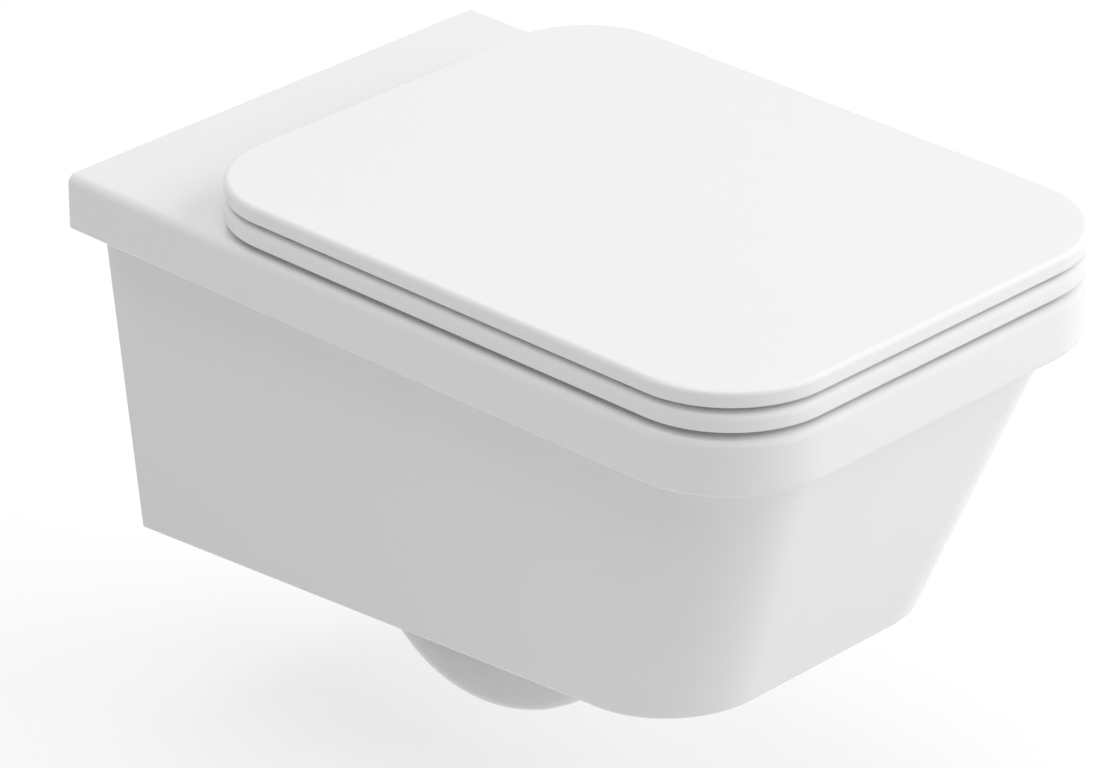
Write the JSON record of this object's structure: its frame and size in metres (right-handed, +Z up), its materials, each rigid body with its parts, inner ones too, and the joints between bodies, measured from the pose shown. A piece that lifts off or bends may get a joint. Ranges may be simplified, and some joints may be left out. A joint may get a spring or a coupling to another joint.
{
  "type": "wall hung toilet",
  "caption": "Wall hung toilet: tapered ceramic pan with a rim band and a trap bend below, and a flat soft-close seat and lid on hidden hinges.",
  "frame": {"origin": "on the wall face, midway between the two wall fixing holes", "axes": "+Y into the wall, along the fixing holes; +Z up; +X to the right of someone facing the wall, so the pan reaches out along -Y"},
  "size_m": [0.36, 0.56, 0.3945],
  "materials": {
    "ceramic": "white glaze",
    "cover": "white, polished",
    "grey_plastic": "moulded",
    "white_plastic": "moulded",
    "black_rubber": "matt",
    "grey_rubber": "matt",
    "zinc_steel": "zinc plated",
    "hinge_metal": "polished",
    "brass": "turned"
  },
  "bodies": {
    "pan": {"pan_rim": "ceramic", "pan_skirt": "ceramic", "pan_back": "ceramic", "pan_bowl": "ceramic", "pan_trapway": "ceramic", "pan_inlet": "ceramic", "flush_spreader": "grey_plastic", "inlet_seal": "black_rubber", "fixing_sleeves": "white_plastic", "fixing_washers": "zinc_steel", "fixing_nuts": "zinc_steel", "hinge_body_left": "hinge_metal", "hinge_body_right": "hinge_metal", "lid_damper": "grey_plastic", "seat_damper": "grey_plastic", "seat_pivot_pin": "zinc_steel", "lid_pivot_pin": "zinc_steel", "hinge_feet": "hinge_metal", "hinge_bolts": "zinc_steel", "hinge_grips": "black_rubber", "hinge_nuts": "brass"},
    "seat": {"seat_ring": "cover", "seat_damper_shaft": "zinc_steel", "seat_buffers": "grey_rubber"},
    "lid": {"lid": "cover", "lid_damper_shaft": "zinc_steel", "lid_buffers": "grey_rubber"}
  },
  "joints": [
    {"name": "seat_hinge", "type": "hinge", "parent": "pan", "child": "seat", "pos_m": [0, -0.112, 0.101], "axis": [-1, 0, 0], "range_deg": [0, 92]},
    {"name": "lid_hinge", "type": "hinge", "parent": "seat", "child": "lid", "pos_m": [0, -0.112, 0.101], "axis": [-1, 0, 0], "range_deg": [0, 92]}
  ]
}
